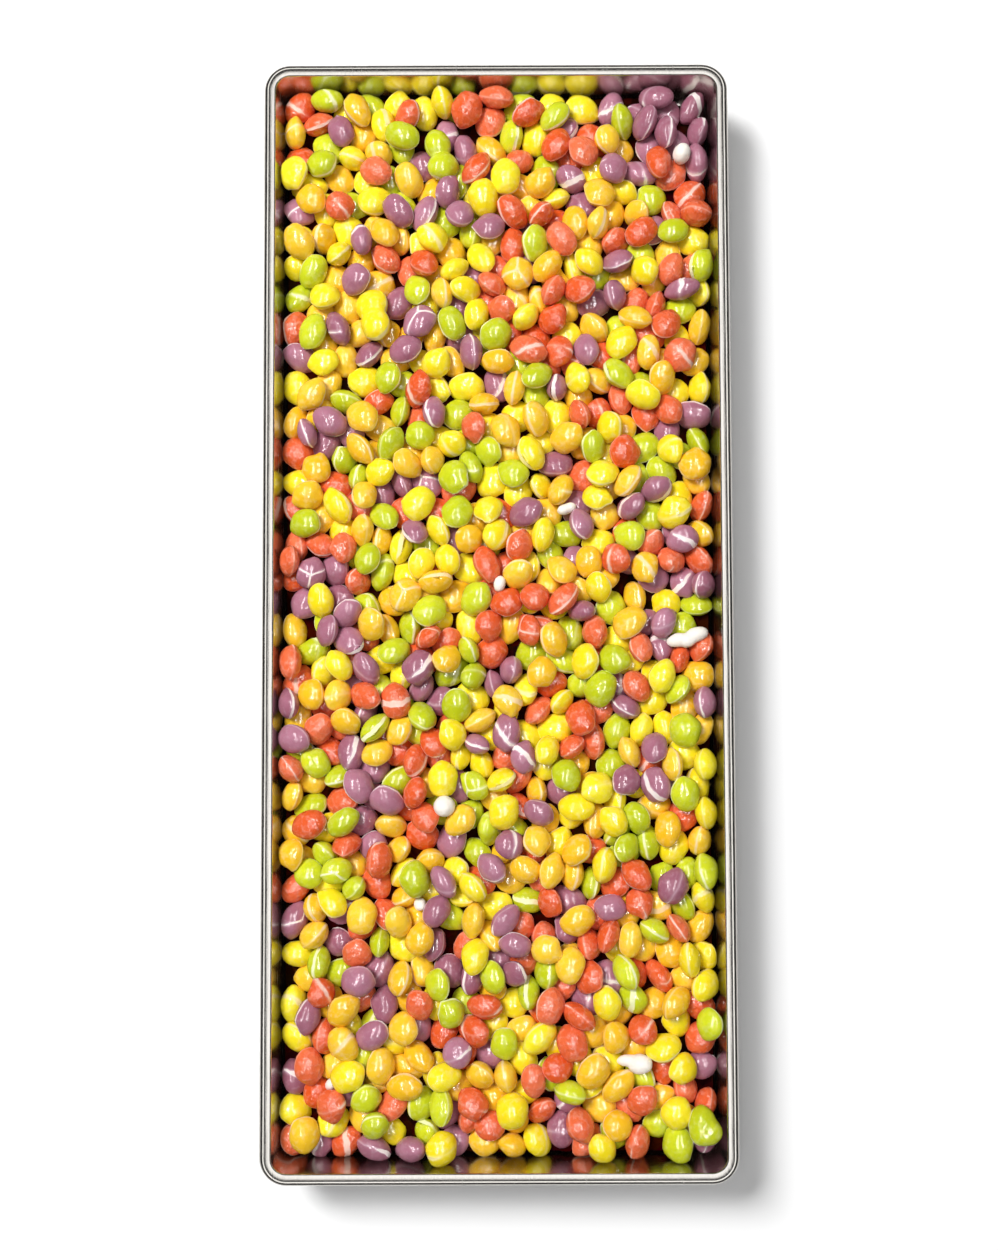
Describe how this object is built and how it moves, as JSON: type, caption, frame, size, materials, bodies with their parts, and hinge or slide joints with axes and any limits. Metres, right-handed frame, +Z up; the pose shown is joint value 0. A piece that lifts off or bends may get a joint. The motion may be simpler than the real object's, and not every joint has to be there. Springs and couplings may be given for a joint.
{
  "type": "tray of freeze-dried candy",
  "caption": "Long shallow stainless steel tray with a rolled rim, filled almost to the rim with freeze-dried, hard-shelled, lentil-shaped fruit candies.",
  "frame": {"origin": "centre of the tray's underside", "axes": "+Z up, +Y along the tray, +X across it"},
  "size_m": [0.1914, 0.455, 0.019],
  "materials": {
    "stainless_steel": "brushed inside, bright on the rim",
    "yellow_shell": "polished sugar shell",
    "orange_shell": "polished sugar shell",
    "red_shell": "polished sugar shell",
    "green_shell": "polished sugar shell",
    "purple_shell": "polished sugar shell",
    "white_filling": "dry puffed sugar"
  },
  "bodies": {
    "root": {"tray": "stainless_steel", "candy_heap": "orange_shell"}
  },
  "joints": []
}
